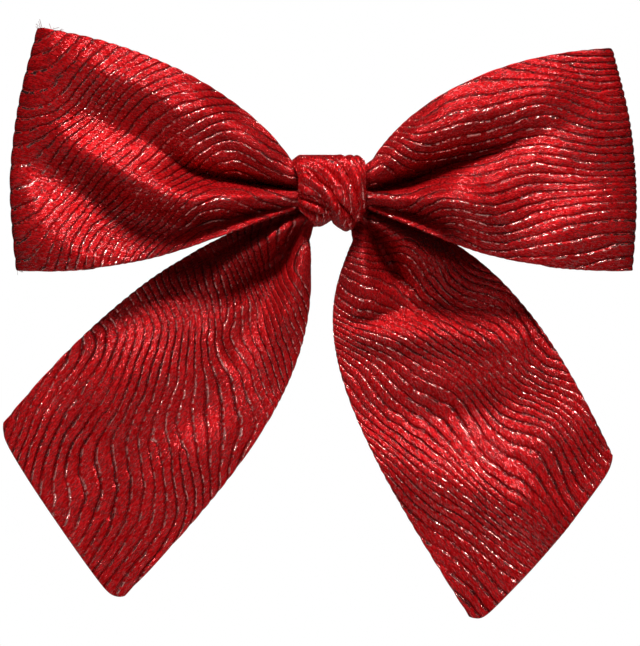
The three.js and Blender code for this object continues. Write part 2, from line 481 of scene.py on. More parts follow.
def blend_colors(tree, share, first, second):
    """A mix of two colours."""
    node = tree.nodes.new("ShaderNodeMix")
    node.data_type = "RGBA"
    put(tree, node.inputs["Factor"], share)
    put(tree, node.inputs[6], first)
    put(tree, node.inputs[7], second)
    return node.outputs[2]


def bump(tree, height, distance, normal=None):
    """A Bump node's normal, for a height from 0 to 1 that stands distance metres tall."""
    node = tree.nodes.new("ShaderNodeBump")
    node.inputs["Distance"].default_value = distance
    put(tree, node.inputs["Height"], height)
    if normal is not None:
        put(tree, node.inputs["Normal"], normal)
    return node.outputs["Normal"]


# %% The ribbon
THREAD = 0.0005  # metres from thread to thread
RED_FLAT = (0.33, 0.002, 0.003, 1)
# RED_CREASE is painted shade: the dark red drawn into the crinkle lines.
RED_CREASE = (0.045, 0.0004, 0.001, 1)
RED_METAL = (0.56, 0.012, 0.015, 1)
GLINT = (0.97, 0.4, 0.36, 1)
CREASE_DEPTH, WEAVE_DEPTH = 0.0007, 0.00005  # metres
THREAD_TILT, SPARK_TILT, DASH_TILT = 0.08, 0.12, 0.42  # how far a cell's normal leans
WORN_SCALE, DASH_SCALE = 60.0, 420.0


def cell_noise(tree, vector, scale):
    """Random colour of each cell."""
    node = tree.nodes.new("ShaderNodeTexVoronoi")
    node.inputs["Scale"].default_value = scale
    put(tree, node.inputs["Vector"], vector)
    return node.outputs["Color"]


def line_masks(tree):
    """Masks round a crinkle line: the cloth away from it, the line itself, and the lip past it."""
    cosine, sine = (tree.nodes.new("ShaderNodeAttribute") for _ in range(2))
    cosine.attribute_name, sine.attribute_name = "line_cos", "line_sin"
    angle = calc(tree, "ARCTAN2", sine.outputs["Fac"], cosine.outputs["Fac"])
    from_line = calc(tree, "DIVIDE", calc(tree, "ABSOLUTE", angle), math.pi)
    below_line = calc(tree, "DIVIDE", angle, math.pi)
    flat = soft_range(tree, from_line, 0.0, 0.36)
    open_line = soft_range(tree, from_line, 0.0, 0.16)
    past_lip = calc(tree, "SUBTRACT", 1.0, soft_range(tree, below_line, 0.3, 0.5))
    lip = calc(tree, "MULTIPLY", soft_range(tree, below_line, 0.08, 0.18), past_lip)
    return flat, open_line, lip


def weave_height(tree, cloth):
    """The height of two crossed rows of threads."""
    split = tree.nodes.new("ShaderNodeSeparateXYZ")
    put(tree, split.inputs[0], cloth)
    warp = calc(tree, "SINE", calc(tree, "MULTIPLY", split.outputs["X"], 2 * math.pi / THREAD))
    weft = calc(tree, "SINE", calc(tree, "MULTIPLY", split.outputs["Y"], 2 * math.pi / (1.3 * THREAD)))
    return calc(tree, "MULTIPLY", warp, weft)


def cloth_noise(tree, cloth, scale, detail):
    """Noise over the cloth."""
    node = tree.nodes.new("ShaderNodeTexNoise")
    node.inputs["Scale"].default_value = scale
    node.inputs["Detail"].default_value = detail
    put(tree, node.inputs["Vector"], cloth)
    return node.outputs["Fac"]


def thread_cells(tree, cloth):
    """A random colour for each short bit of thread."""
    stretch = tree.nodes.new("ShaderNodeMapping")
    stretch.inputs["Scale"].default_value = (1 / (0.75 * THREAD), 1 / (1.8 * THREAD), 1)
    put(tree, stretch.inputs["Vector"], cloth)
    return cell_noise(tree, stretch.outputs["Vector"], 1.0)


def ribbon_material(name):
    """Red cloth with dark crinkle lines, a fine weave and metallic glints."""
    material, tree, shader = new_material(name)
    flat, open_line, lip = line_masks(tree)
    strong = tree.nodes.new("ShaderNodeAttribute")
    strong.attribute_name = "line_strength"
    strong = strong.outputs["Fac"]
    # Painted shade: the crinkle lines are tinted towards RED_CREASE for the shade in their creases.
    crease_shade = calc(tree, "MULTIPLY", calc(tree, "SUBTRACT", 1.0, open_line), strong)

    cloth = tree.nodes.new("ShaderNodeUVMap")
    cloth.uv_map = "cloth"
    cloth = cloth.outputs["UV"]
    cells = thread_cells(tree, cloth)
    parts = tree.nodes.new("ShaderNodeSeparateXYZ")
    put(tree, parts.inputs[0], cells)
    metal = soft_range(tree, parts.outputs["X"], 0.4, 0.6)
    spark = soft_range(tree, parts.outputs["Y"], 0.62, 0.7)
    worn = soft_range(tree, cloth_noise(tree, cloth, WORN_SCALE, 3.0), 0.3, 0.7)
    breaks = soft_range(tree, cloth_noise(tree, cloth, DASH_SCALE, 2.0), 0.48, 0.55)
    dash = calc(tree, "MULTIPLY", lip, breaks)

    sunk = calc(tree, "MULTIPLY", calc(tree, "SUBTRACT", 1.0, flat), strong)
    creased = bump(tree, calc(tree, "SUBTRACT", 1.0, sunk), CREASE_DEPTH)
    woven = bump(tree, weave_height(tree, cloth), WEAVE_DEPTH, creased)
    more_tilt = calc(tree, "MULTIPLY", dash, DASH_TILT)
    more_tilt = calc(tree, "ADD", calc(tree, "MULTIPLY", spark, SPARK_TILT), more_tilt)
    lean = tree.nodes.new("ShaderNodeVectorMath")
    lean.operation = "SCALE"
    put(tree, lean.inputs[0], vector_calc(tree, "SUBTRACT", cells, (0.5, 0.5, 0.5)))
    put(tree, lean.inputs["Scale"], calc(tree, "ADD", THREAD_TILT, more_tilt))
    glint = vector_calc(tree, "NORMALIZE", vector_calc(tree, "ADD", woven, lean.outputs[0]))

    thread = blend_colors(tree, metal, RED_FLAT, RED_METAL)
    shade = blend_colors(tree, calc(tree, "MULTIPLY", worn, 0.2), thread, RED_CREASE)
    # The painted crease shade goes on last.
    shade = blend_colors(tree, crease_shade, shade, RED_CREASE)
    put(tree, shader.inputs["Base Color"], blend_colors(tree, dash, shade, GLINT))
    shine = calc(tree, "ADD", calc(tree, "MULTIPLY", metal, 0.2), calc(tree, "MULTIPLY", spark, 0.25))
    shine = calc(tree, "ADD", calc(tree, "ADD", 0.3, shine), dash, clamp=True)
    put(tree, shader.inputs["Metallic"], shine)
    polished = calc(tree, "MAXIMUM", spark, dash)
    rough = calc(tree, "SUBTRACT", 0.38, calc(tree, "MULTIPLY", polished, 0.2))
    put(tree, shader.inputs["Roughness"], rough)
    put(tree, shader.inputs["Normal"], glint)
    shader.inputs["Specular IOR Level"].default_value = 0.06
    shader.inputs["Specular Tint"].default_value = (0.9, 0.12, 0.14, 1)
    coat = calc(tree, "MAXIMUM", calc(tree, "MULTIPLY", spark, 0.9), dash)
    put(tree, shader.inputs["Coat Weight"], coat)
    shader.inputs["Coat Roughness"].default_value = 0.2
    put(tree, shader.inputs["Coat Normal"], glint)
    return material


ribbon = ribbon_material("crinkled_ribbon")

# %% [markdown]
# ## Loops
#
# A loop is one strip: out along the front, round the outer fold and back behind. The number `turn` runs
# from -1 at the waist in front, over 0 at the fold, to 1 at the waist behind. `side` says which wall a
# point is on, and changes softly over the fold, which makes the fold round.

# %% Loop surface
FRONT_SWELL = 24.0
BACK_SWELL = 8.0
NECK_FRONT = 6.0
NECK_BACK = 3.0
EDGE_SHARE = 0.55
FOLD_SETBACK = 3.0
FOLD_ROUND = 0.035
LOOP_ROWS, LOOP_COLUMNS = 210, 225
RIBBON_WIDTH = 97.0
LOOP_LENGTH = 125.0  # of one wall


def loop_piece(name, front_strokes, back_strokes, drift, seed, roll, pitch, waves):
    """A loop's mesh. drift(p, q, across) leans the crinkle lines."""
    plan = petal_plan(name)
    turn = np.linspace(-1, 1, LOOP_ROWS)[:, None]
    across = edge_shares(LOOP_COLUMNS, RIBBON_WIDTH)[None, :]
    softened = np.sqrt(turn**2 + FOLD_ROUND**2)
    reach = (softened - FOLD_ROUND) / (math.sqrt(1 + FOLD_ROUND**2) - FOLD_ROUND)
    out = 1 - (1 + NECK) * reach + 0 * across
    side = turn / softened + 0 * across
    across = across + 0 * out
    front, back = np.clip(-side, 0, 1), np.clip(side, 0, 1)

    # The back wall's lower edge is higher near the knot, which gives the tail more room. Right beside the
    # knot the loop's cloth and the tail's still cross.
    raised = 0.13 * back * ease(out / 0.15) * (1 - ease((out - 0.5) / 0.3))
    q = np.where(turn < 0, out, 2 - out) * LOOP_LENGTH
    p = (across - 0.5) * RIBBON_WIDTH
    shown_p, shown_q = (across - 0.5) * shown_width(plan, out), out * LOOP_LENGTH
    phase_front = crinkle_phase(shown_p, shown_q, drift(shown_p, shown_q, across), seed, pitch, waves)
    phase_back = crinkle_phase(shown_p, q, 0 * p, seed + 50)
    nibble = 0.006 * np.abs(2 * across - 1) ** 10 * (1 - pucker(phase_front))
    shown = 0.5 + (across - 0.5) * (1 - nibble)
    place = plan(out, shown * (1 - raised))

    open_share = ease(out / 0.5)
    edge = EDGE_SHARE + (1 - EDGE_SHARE) * np.sin(np.pi * across)
    fold = np.sqrt(1 - (0.97 * np.clip(out, 0, 1)) ** (8 / 3))
    front_half = NECK_FRONT * (1 - open_share) + FRONT_SWELL * open_share * edge
    back_half = NECK_BACK * (1 - open_share) + BACK_SWELL * open_share * edge
    half_depth = fold * np.where(side < 0, front_half, back_half)
    y = WAIST_Y + FOLD_SETBACK * out + side * half_depth

    hidden = ease((out + NECK) / NECK)
    y = y - front * hidden * folds(plan, place, front_strokes)
    y = y + back * hidden * folds(plan, place, back_strokes)
    near_bottom = ease((across - 0.8) / 0.2)
    y = y + roll * front * near_bottom * ease(out / 0.1) * (1 - ease((out - 0.3) / 0.3))
    y = y + 0.8 * ripples(seed + 7, 42, place[..., 0], place[..., 1]) * ease(out / 0.3)
    y = np.minimum(y, REST_Y)

    middle = np.stack([place[..., 0], y, place[..., 1]], -1)
    width = np.linalg.norm(middle[:, -1] - middle[:, 0], axis=-1)[:, None]
    full = np.clip(1.2 * width / RIBBON_WIDTH, 0.6, 1)
    strong = np.clip(0.75 + 0.3 * ripples(seed + 9, 35, p, q), 0.2, 1)
    ends = np.minimum(turn + 1, 1 - turn) * (1 + NECK) * LOOP_LENGTH
    half = rounded_half(np.minimum(np.minimum(across, 1 - across) * RIBBON_WIDTH * full, ends))
    reliefs = [full * PUCKER * (pucker(phase) - 0.6) for phase in (phase_front, phase_back)]
    phases, cloth = (phase_front, phase_back), np.stack([p, q], -1)
    piece = closed_cloth(name + "_cloth", middle, half, reliefs, phases, cloth, strong)
    piece.data.materials.append(ribbon)
    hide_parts(name)
    return piece


# %% [markdown]
# The left loop: an upper lobe over a deep crevice, and a ridge that leaves the knot below it and turns
# up across the loop. Its crinkle lines rise towards the waist's side at the outer end.

# %% Left loop
left_loop = loop_piece(
    "left_loop",
    front_strokes=[
        # the upper lobe, the deep crevice under it, and the hollow that it runs out in
        ([(0.0, 0.3), (0.2, 0.22), (0.45, 0.16), (0.7, 0.14), (0.95, 0.14)],
         [4, 7, 8, 7, 3], [3.5, 6, 9, 11, 12]),
        ([(-0.02, 0.56), (0.2, 0.57), (0.42, 0.55), (0.55, 0.43), (0.75, 0.36), (0.95, 0.36)],
         [-10, -17, -13, -6, -6, -2], [1.4, 2.8, 4.5, 8, 12, 13], 1.4),
        # the ridge that leaves the knot below the crevice and turns up across the loop
        ([(-0.02, 0.72), (0.25, 0.74), (0.47, 0.73), (0.62, 0.62), (0.82, 0.48)],
         [3, 6, 9, 8, 4], [2, 4, 6, 8, 9]),
        ([(0.3, 0.9), (0.45, 0.86), (0.6, 0.78), (0.78, 0.66), (0.94, 0.58)],
         [-1, -5, -8, -8, -3], [4, 6, 9, 10, 11]),
        ([(0.68, 0.98), (0.82, 0.94), (0.96, 0.9)], [2, 6, 3], [9, 12, 12]),
        ([(0.0, 0.91), (0.17, 0.88), (0.39, 0.86), (0.55, 0.88)], [-2.5, -5, -4, 0], [1.5, 2.5, 4, 6]),
        ([(0.03, 1.0), (0.17, 1.0), (0.35, 1.0), (0.5, 1.0)], [1, 6, 6, 1], [2, 3, 4, 4]),
        # the outer part of the top edge leans towards the viewer
        ([(0.45, 0.03), (0.62, 0.03), (0.78, 0.03), (0.9, 0.03)], [1, 6, 5, 2], [8, 12, 13, 12]),
    ],
    back_strokes=[
        ([(-0.02, 0.4), (0.3, 0.38), (0.6, 0.3)], [-3, -4, 0], [2, 4, 8]),
        ([(-0.02, 0.72), (0.25, 0.7), (0.5, 0.75)], [-3, -4, 0], [2, 3.5, 7]),
    ],
    drift=lambda p, q, across: -50 * across * ease((q - 20) / 115) - 24 * ease((q - 55) / 65),
    seed=11,
    pitch=3.2,
    waves=0.6,
    roll=0.5,
)

# %% [markdown]
# The right loop is built the same way. It is shorter, its crevice is wider beside the knot, and its lines
# are steeper at the fold.

# %% Right loop
right_loop = loop_piece(
    "right_loop",
    front_strokes=[
        ([(0.0, 0.3), (0.2, 0.22), (0.45, 0.18), (0.75, 0.16), (0.95, 0.2)],
         [4, 7, 8, 6, 2], [3.5, 6, 9, 11, 12]),
        ([(-0.02, 0.59), (0.2, 0.53), (0.42, 0.45), (0.6, 0.4), (0.8, 0.36)],
         [-10, -19, -18, -12, -4], [1.6, 3.2, 5.5, 8, 11], 1.4),
        ([(-0.02, 0.73), (0.25, 0.73), (0.42, 0.72), (0.6, 0.76), (0.74, 0.82)],
         [4, 7, 8, 6, 2], [2, 4, 6, 8, 10]),
        ([(0.6, 0.56), (0.75, 0.62), (0.9, 0.6)], [-2, -6, -2], [9, 12, 11]),
        ([(0.55, 0.92), (0.75, 0.92), (0.95, 0.88)], [2, 5, 2], [8, 11, 12]),
        ([(0.0, 0.89), (0.19, 0.88), (0.36, 0.88), (0.5, 0.9)], [-2.5, -5, -4, 0], [1.5, 2.5, 4, 6]),
        ([(0.03, 1.0), (0.17, 1.0), (0.3, 1.0), (0.42, 1.0)], [1, 6, 6, 1], [2, 3, 4, 4]),
    ],
    back_strokes=[
        ([(-0.02, 0.35), (0.3, 0.38), (0.6, 0.42)], [-3, -4, 0], [2, 4, 8]),
        ([(-0.02, 0.7), (0.25, 0.66), (0.5, 0.6)], [-3, -4, 0], [2, 3.5, 7]),
    ],
    drift=lambda p, q, across: (16 + 34 * across) * ease((q - 20) / 115) + 32 * ease((q - 85) / 45),
    seed=23,
    pitch=4.4,
    waves=0.6,
    roll=0.5,
)

# %% [markdown]
# ## Tails
#
# A tail is one strip, pinched into a gutter at the knot and nearly flat at its cut end. It hangs behind
# the loops, so the edge that is next to a loop bends back out of its way.

# %% Tail surface
END_SETBACK = 6.0
GUTTER_RISE = 4.0
TAIL_ROWS, TAIL_COLUMNS = 230, 200
TAIL_WIDTH = 92.0
TAIL_LENGTH = 158.0


def tail_piece(name, strokes, drift, seed, pitch, waves):
    """A tail's mesh. drift(p, q, across) leans the crinkle lines."""
    plan = petal_plan(name)
    end = edge_shares(TAIL_ROWS, TAIL_LENGTH * (1 + NECK))
    out = (end * (1 + NECK) - NECK)[:, None] + np.zeros(TAIL_COLUMNS)
    across = edge_shares(TAIL_COLUMNS, TAIL_WIDTH)[None, :] + 0 * out
    q, p = out * TAIL_LENGTH, (across - 0.5) * TAIL_WIDTH
    shown_p = (across - 0.5) * shown_width(plan, out)
    phase_front = crinkle_phase(shown_p, q, drift(shown_p, q, across), seed, pitch, waves)
    phase_back = crinkle_phase(shown_p, q, 0.4 * q, seed + 50)
    edge = np.abs(2 * across - 1)
    shown = 0.5 + (across - 0.5) * (1 - 0.008 * edge**10 * (1 - pucker(phase_front)))
    cut_back = 0.018 * edge**16 * np.clip(out, 0, 1) ** 4
    place = plan(out - cut_back, shown)

    gathered = ease(out / 0.22) * (1 - 0.85 * ease((out - 0.22) / 0.6))
    y = WAIST_Y + END_SETBACK * ease(out / 0.25) - GUTTER_RISE * gathered * (1 - edge**2)
    y = y - ease((out + NECK) / NECK) * folds(plan, place, strokes)
    back_edge = ease((0.3 - across) / 0.3) * ease(out / 0.08) * (1 - ease((out - 0.3) / 0.25))
    y = y + 3.0 * back_edge
    y = y + 0.9 * ripples(seed + 7, 48, place[..., 0], place[..., 1]) * ease((out - 0.1) / 0.3)
    y = np.minimum(y, REST_Y)

    middle = np.stack([place[..., 0], y, place[..., 1]], -1)
    width = np.linalg.norm(place[:, -1] - place[:, 0], axis=-1)[:, None]
    full = np.clip(1.2 * width / TAIL_WIDTH, 0.6, 1)
    strong = np.clip(0.75 + 0.3 * ripples(seed + 9, 35, p, q), 0.2, 1)
    ends = np.minimum(end, 1 - end)[:, None] * TAIL_LENGTH * (1 + NECK)
    half = rounded_half(np.minimum(np.minimum(across, 1 - across) * TAIL_WIDTH * full, ends))
    reliefs = [full * PUCKER * (pucker(phase) - 0.6) for phase in (phase_front, phase_back)]
    phases, cloth = (phase_front, phase_back), np.stack([p, q], -1)
    piece = closed_cloth(name + "_cloth", middle, half, reliefs, phases, cloth, strong)
    piece.data.materials.append(ribbon)
    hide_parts(name)
    return piece


# %% [markdown]
# The left tail lies under the left loop, so its first strip is in shadow. A dark pocket and a ridge
# follow, and they run out before the cut end.

# %% Left tail
left_tail = tail_piece(
    "left_tail",
    strokes=[
        # the strip in the loop's shadow, the rim below it, the dark pocket and the inner ridge
        ([(-0.02, 0.15), (0.1, 0.12), (0.22, 0.08), (0.34, 0.05), (0.44, 0.0)],
         [-4, -8, -8, -7, -2], [2, 3, 4, 4.5, 4]),
        ([(-0.02, 0.31), (0.08, 0.28), (0.18, 0.23), (0.29, 0.22), (0.38, 0.22), (0.48, 0.2)],
         [3, 6, 6, 4, 3, 1], [1.6, 2.2, 2.8, 4, 5, 6]),
        ([(0.02, 0.54), (0.12, 0.5), (0.2, 0.45), (0.29, 0.38), (0.4, 0.34)],
         [-9, -16, -14, -9, -2], [2.2, 3.6, 5, 6, 8], 1.6),
        ([(0.0, 0.76), (0.08, 0.79), (0.17, 0.82), (0.26, 0.85), (0.38, 0.88)],
         [3, 6, 6, 5, 1], [2.5, 4, 6, 7, 8]),
        ([(0.15, 0.62), (0.28, 0.6), (0.42, 0.62), (0.54, 0.68)], [-3, -6, -5, -1], [4, 6, 8, 9]),
        ([(0.47, 0.42), (0.5, 0.62), (0.52, 0.75)], [-0.6, -1.8, -0.4], [2, 2.4, 2]),
        ([(0.45, 0.3), (0.65, 0.35), (0.85, 0.35)], [1, 4, 1], [14, 20, 16]),
        ([(0.6, 0.85), (0.72, 0.8), (0.82, 0.75)], [1, 3.5, 1], [8, 10, 9]),
    ],
    drift=lambda p, q, across: (
        -1.05 * (q - 12) * ease((q - 5) / 50) + 0.4 * (q - 110) * ease((q - 100) / 50)
    ),
    seed=37,
    pitch=5.2,
    waves=0.95,
)

# %% [markdown]
# The right tail has the same pocket, and one fold that runs right across it.

# %% Right tail
right_tail = tail_piece(
    "right_tail",
    strokes=[
        ([(0.0, 0.1), (0.1, 0.09), (0.19, 0.05), (0.3, 0.0)], [-5, -8, -7, -2], [2, 3, 4, 4]),
        ([(0.02, 0.27), (0.12, 0.25), (0.2, 0.21), (0.32, 0.15)], [3, 6, 5, 2], [2, 3.5, 5, 7]),
        ([(0.02, 0.43), (0.1, 0.44), (0.2, 0.46), (0.3, 0.47), (0.38, 0.46)],
         [-8, -16, -15, -8, -2], [2, 3.6, 5, 6, 8], 1.6),
        ([(0.02, 0.66), (0.13, 0.7), (0.23, 0.74), (0.34, 0.8)], [4, 7, 6, 1], [2.5, 4.5, 6, 8]),
        # a fold that runs across the tail: a valley and the ridge below it
        ([(0.32, 0.85), (0.36, 0.6), (0.42, 0.35), (0.53, 0.1)], [-2, -5, -5, -1.5], [3.5, 5, 6, 6]),
        ([(0.33, 0.98), (0.42, 0.66), (0.49, 0.42), (0.6, 0.15)], [1, 4, 4, 2], [5, 6, 7, 7]),
        ([(0.66, 0.98), (0.78, 0.78), (0.9, 0.55), (0.98, 0.4)], [1.5, 5, 5, 2], [9, 11, 11, 9]),
        ([(0.58, 0.9), (0.66, 0.6), (0.74, 0.3), (0.8, 0.1)], [-1, -4, -3, -1], [9, 11, 10, 9]),
    ],
    drift=lambda p, q, across: (0.95 + 0.15 * (1 - across)) * (q - 15) * ease((q - 5) / 40),
    seed=53,
    pitch=4.8,
    waves=0.45,
)

# %% [markdown]
# ## The knot
#
# The knot is a strip wrapped round the waist. Its pleats run from upper left to lower right and are drawn
# one by one, each a crease with a soft ridge beside it. The last turn of the wrap lies over a tucked lobe
# at the lower left corner. The band is a ring, so the grid goes round the waist and closes.

# %% Knot
KNOT_ROWS, KNOT_COLUMNS = 300, 96
KNOT_CORNER = (-13.6, -13.0)  # the lower left corner, which the tucked lobe fills
PLEAT = 3.5
WRAP_CREASES = [  # x and z in millimetres from the knot's middle
    [(-9.4, 13), (-5, 11.1), (-1.1, 8), (3, 2.5)],
    [(-14, 10.5), (-8.6, 8.3), (-5, 3.9), (-1.1, 0.6), (1.6, -3.9), (4.6, -10), (7.2, -15)],
    [(-10.5, 7), (-8.6, 5.4), (-2.5, 1.0)],
    [(0.3, 13.4), (3.6, 10), (6.1, 5), (10, -3), (12.4, -12)],
    [(4.4, 14.4), (8.9, 10.8), (11.4, 5), (13.4, -2)],
    [(8.3, 14.2), (12.2, 9.4), (14, 6)],
    [(2.5, -5), (6.5, -9.5), (9.5, -15)],
]
LOBE_CREASES = [[(-13.4, -3.1), (-6.1, -6.1), (-0.6, -8.9)], [(-13.4, -7), (-7.2, -10.4), (-1.4, -11.9)]]


def flat_plan(x, z):
    """A plan whose shares are millimetres already."""
    return np.stack([x, z], -1)


def knot_piece():
    """The knot's mesh: a closed band with its creases drawn in."""
    low, high = (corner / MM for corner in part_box("knot_band"))
    half_width, half_height = (high.x - low.x) / 2, (high.z - low.z) / 2
    half_depth = (high.y - low.y) / 2
    around = np.linspace(0, 2 * np.pi, KNOT_ROWS)[:, None] - np.pi / 2 + np.zeros(KNOT_COLUMNS)
    band = edge_shares(KNOT_COLUMNS, 2 * half_width)[None, :] + 0 * around
    forward, up = np.cos(around), np.sin(around)
    power = np.where(forward > 0, 2.4, 4.5)
    radius = (np.abs(forward) ** power + np.abs(up) ** power) ** (-1 / power)
    front = ease((forward + 0.4) / 0.5)
    z = half_height * radius * up * (1 - 0.16 * ease((-forward - 0.05) / 0.6))
    depth = half_depth * radius * forward

    left = -half_width - 2.6 * ease((z - 5) / 9) * front + 4.2 * ease((-z - 8) / 7) * front
    right = half_width - 0.7 - 3.4 * ease((-z - 9) / 6) * front
    x = left + (right - left) * band

    place = np.stack([x, z], -1)
    ring = np.hypot(x - KNOT_CORNER[0], z - KNOT_CORNER[1])
    lobe_x, lobe_z = np.abs(x - KNOT_CORNER[0]) / 14.2, np.abs(z - KNOT_CORNER[1]) / 12.2
    lobe_edge = lobe_x**2.6 + lobe_z**2.6
    under = 1 - ease((lobe_edge ** (1 / 2.6) - 0.94) / 0.08)
    wrap, tuck = 0.5 + 0 * x, -1.8 + 0 * x
    for line in WRAP_CREASES:
        wrap += stroke(flat_plan, place, line, [-1.0, -2.7, -2.5, -1.2], [0.5, 0.8, 0.8, 0.6], 1.5)
        ridge = [(a - 1.3, b - 1.0) for a, b in line]
        wrap += stroke(flat_plan, place, ridge, [0.5, 1.5, 1.4, 0.5], [0.9, 1.3, 1.3, 1.0])
    for line in LOBE_CREASES:
        tuck += stroke(flat_plan, place, line, [-1.4, -2.4, -1.2], [0.6, 0.85, 0.7], 1.5)
        ridge = [(a - 0.3, b - 1.7) for a, b in line]
        tuck += stroke(flat_plan, place, ridge, [0.6, 1.2, 0.8], [1.0, 1.4, 1.1])
    lift = front * (wrap * (1 - under) + tuck * under)
    lift = lift - 2.6 * np.exp(-(((x + 0.4) / 2.8) ** 2)) * ease((-z - 6) / 6)
    lift = lift - 2.0 * (1 - ease(np.minimum(band, 1 - band) / 0.12))
    back_phase = 2 * np.pi * (x / PLEAT + 0.3 * ripples(73, 14, x, depth))
    lift = lift + (1 - front) * 0.35 * (pucker(back_phase) - 1) * ease(np.minimum(band, 1 - band) / 0.1)

    size = np.hypot(z, depth)
    scale = (size + lift - 0.9) / size
    middle = np.stack([x, WAIST_Y - depth * scale, z * scale], -1)
    middle[..., 1] = np.minimum(middle[..., 1], -0.9)
    middle[-1] = middle[0]
    p, q = (band - 0.5) * 46.0, around * 17.0
    fine = crinkle_phase(ring * 1.3 + 0.3 * x, q, 0 * p, 75, forks=0)
    half = rounded_half(np.minimum(band, 1 - band) * 2 * half_width)
    relief = 0.08 * (pucker(fine) - 0.6)
    cloth = np.stack([p, q], -1)
    reliefs, strong = (relief, 0 * relief), 0.3 + 0 * p
    piece = closed_cloth("knot_cloth", middle, half, reliefs, (fine, fine), cloth, strong, ring=True)
    piece.data.materials.append(ribbon)
    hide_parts("knot_band")
    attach(piece, "knot")
    return piece


knot = knot_piece()

# %% [markdown]
# ## The gathered waist
#
# Under the knot the ribbon is bunched into a stiff little bundle. It begins as a cylinder. Rings of
# vertices are pulled in for the pinch, and every third line of vertices along it for the pleats.

# %% Gathered waist


def select_points(mesh, chosen):
    """Selects the vertices for which chosen(place in millimetres) is true."""
    bpy.ops.object.mode_set(mode="OBJECT")
    for vertex in mesh.vertices:
        vertex.select = bool(chosen(vertex.co / MM))
    bpy.ops.object.mode_set(mode="EDIT")
    bpy.ops.mesh.select_mode(type="VERT")


def settle(piece):
    """Back to object mode, with the piece's place, turn and scale in its mesh."""
    bpy.ops.object.mode_set(mode="OBJECT")
    bpy.ops.object.transform_apply(location=True, rotation=True, scale=True)
    return piece


WAIST_PLEATS = 16
low, high = (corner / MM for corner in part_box("gathered_waist"))
bpy.ops.object.select_all(action="DESELECT")
bpy.ops.mesh.primitive_cylinder_add(
    vertices=3 * WAIST_PLEATS,
    radius=(high.z - low.z) / 2 * MM,
    depth=(high.x - low.x) * MM,
    location=(0, WAIST_Y * MM, 0),
    rotation=(0, math.radians(90), 0),
)
waist = settle(bpy.context.object)
waist.name = "waist_bundle"
bpy.ops.object.mode_set(mode="EDIT")
for x in (-8, -5, -2.5, 0, 2.5, 5, 8):
    bpy.ops.mesh.select_all(action="SELECT")
    bpy.ops.mesh.bisect(plane_co=(x * MM, 0, 0), plane_no=(1, 0, 0))
waist_middle = (0, WAIST_Y * MM, 0)
for reach, narrower in ((9, 0.88), (6, 0.86), (3, 0.86)):
    select_points(waist.data, lambda place: abs(place.x) < reach)
    bpy.ops.transform.resize(value=(1, narrower, narrower), center_override=waist_middle)


def in_pleat(place):
    """True on every third line of vertices along the bundle."""
    angle = math.atan2(place.z, place.y - WAIST_Y) / (2 * math.pi)
    return round(angle * 3 * WAIST_PLEATS) % 3 == 0


select_points(waist.data, in_pleat)
bpy.ops.transform.resize(value=(1, 0.86, 0.86), center_override=waist_middle)
settle(waist)
smooth = waist.modifiers.new("rounded_folds", "SUBSURF")
smooth.levels = smooth.render_levels = 1
bpy.ops.object.modifier_apply(modifier=smooth.name)
bpy.ops.object.shade_smooth()
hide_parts("gathered_waist")
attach(waist, "knot")
print("waist bundle:", len(waist.data.polygons), "faces")

# %% [markdown]
# ## The twist tie
#
# A flat strip of foil over paper with a wire in its middle. The strip begins as a thin box. Bisecting it
# gives lines to raise the wire's ridge from. The legs start inside the band, next to the bridge.

# %% Twist tie
TIE_EDGE = 0.28  # the strip's thickness beside the wire


def tie_strip(name, node, inner):
    """A strip for a CAD node, carried on by inner millimetres towards the knot's middle."""
    low, high = (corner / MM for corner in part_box(node))
    if node != "tie_bridge":
        low.x, high.x = (low.x, high.x + inner) if high.x < 0 else (low.x - inner, high.x)
    centre, size = (low + high) / 2, high - low
    bpy.ops.object.select_all(action="DESELECT")
    bpy.ops.mesh.primitive_cube_add(size=1, location=centre * MM)
    strip = bpy.context.object
    strip.name = name
    strip.scale = Vector((size.x, TIE_EDGE, size.z)) * MM
    settle(strip)
    bpy.ops.object.mode_set(mode="EDIT")
    for z in (-0.75, -0.4, 0, 0.4, 0.75):
        bpy.ops.mesh.select_all(action="SELECT")
        bpy.ops.mesh.bisect(plane_co=(0, 0, (centre.z + z) * MM), plane_no=(0, 0, 1))
    for step in range(1, int(size.x)):
        bpy.ops.mesh.select_all(action="SELECT")
        bpy.ops.mesh.bisect(plane_co=((low.x + step) * MM, 0, 0), plane_no=(1, 0, 0))
    for face in (-1, 1):
        for reach, rise in ((0.5, 0.2), (0.2, 0.12)):
            select_points(
                strip.data,
                lambda place: abs(place.z - centre.z) < reach and (place.y - centre.y) * face > 0,
            )
            bpy.ops.transform.translate(value=(0, face * rise * MM, 0))
    settle(strip)
    bevel = strip.modifiers.new("soft_edges", "BEVEL")
    bevel.width = 0.06 * MM
    bevel.limit_method = "ANGLE"
    bpy.ops.object.modifier_apply(modifier=bevel.name)
    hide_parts(node)
    return strip


bridge = tie_strip("tie_under_band", "tie_bridge", 0)
left_leg = tie_strip("left_tie_strip", "left_tie_leg", 1.8)
right_leg = tie_strip("right_tie_strip", "right_tie_leg", 1.8)
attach(bridge, "knot")
for leg, body, side in ((left_leg, "left_tie_leg", -1), (right_leg, "right_tie_leg", 1)):
    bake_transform(leg)
print("twist tie:", [len(piece.data.polygons) for piece in (bridge, left_leg, right_leg)], "faces")

# %% [markdown]
# ## Frayed threads
#
# At the left loop's corners a few threads of the ribbon have come free. Each is a thin curved tube, short
# and bent its own way, with its root in the cloth.

# %% Frayed threads
THREAD_SIDES = 4


